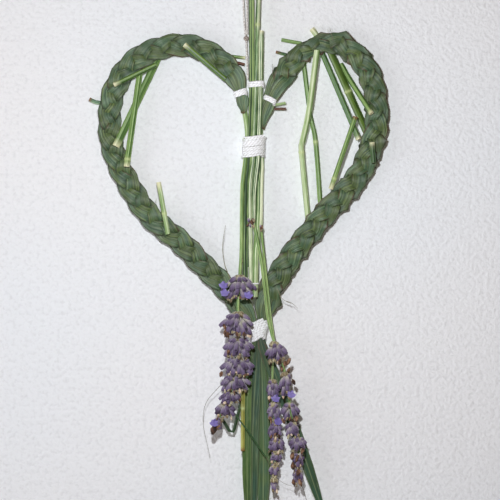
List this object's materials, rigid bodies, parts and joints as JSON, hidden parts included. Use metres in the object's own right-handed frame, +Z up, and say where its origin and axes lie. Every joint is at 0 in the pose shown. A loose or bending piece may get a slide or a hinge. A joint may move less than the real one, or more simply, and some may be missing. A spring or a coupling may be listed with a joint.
{
  "type": "reed heart ornament",
  "caption": "Hand-plaited reed leaf heart tied with white thread over a bundle of stems, with straws, lavender and long leaves, hung on a cord.",
  "frame": {"origin": "top of the cord's loop, where the ornament hangs on a nail", "axes": "+Z up along the stem bundle, +X to the right seen from the front, the front faces -Y"},
  "size_m": [0.1658, 0.0247, 0.342],
  "materials": {
    "reed_leaf": "dried leaf, satin, fine veins along its length",
    "reed_stem": "green stem, satin, ridged",
    "green_straw": "hollow green straw, satin, pale cut ends",
    "dry_straw": "yellowed straw, satin",
    "cotton_thread": "matt twisted cotton thread",
    "cotton_cord": "matt two-ply cotton cord",
    "lavender": "matt downy dried flower spikes"
  },
  "bodies": {
    "root": {"centre_tie": "cotton_thread", "cord_knot": "cotton_cord", "cord_loop": "cotton_cord", "hanging_cord": "cotton_cord", "lavender_back": "lavender", "lavender_left": "lavender", "lavender_right": "lavender", "leaf_blade_1": "reed_leaf", "leaf_blade_2": "reed_leaf", "leaf_blade_3": "reed_leaf", "leaf_blade_4": "reed_leaf", "leaf_blade_5": "reed_leaf", "leaf_blade_6": "reed_leaf", "left_arm_tie": "cotton_thread", "left_straw_1": "green_straw", "left_straw_2": "green_straw", "left_straw_3": "green_straw", "left_straw_4": "green_straw", "left_straw_5": "green_straw", "left_stub_1": "green_straw", "left_stub_2": "green_straw", "left_stub_3": "green_straw", "looped_stem": "reed_leaf", "lower_binding": "cotton_thread", "main_binding": "cotton_thread", "plait_left_strand_1": "reed_leaf", "plait_left_strand_2": "reed_leaf", "plait_left_strand_3": "reed_leaf", "plait_right_strand_1": "reed_leaf", "plait_right_strand_2": "reed_leaf", "plait_right_strand_3": "reed_leaf", "right_arm_tie": "cotton_thread", "right_straw_1": "green_straw", "right_straw_2": "green_straw", "right_straw_3": "green_straw", "right_straw_4": "green_straw", "right_straw_5": "green_straw", "right_straw_6": "green_straw", "right_straw_7": "green_straw", "right_stub_1": "green_straw", "right_stub_2": "green_straw", "right_stub_3": "green_straw", "right_stub_4": "green_straw", "right_stub_5": "green_straw", "stem_1": "reed_stem", "stem_2": "reed_stem", "stem_3": "reed_stem", "stem_4": "reed_stem", "stem_5": "reed_stem", "stem_6": "reed_stem", "stem_7": "reed_stem", "stem_8": "reed_stem", "stem_offcut": "reed_stem", "tail_stem": "reed_stem", "tail_straw": "dry_straw", "thread_ring": "cotton_thread"}
  },
  "joints": []
}
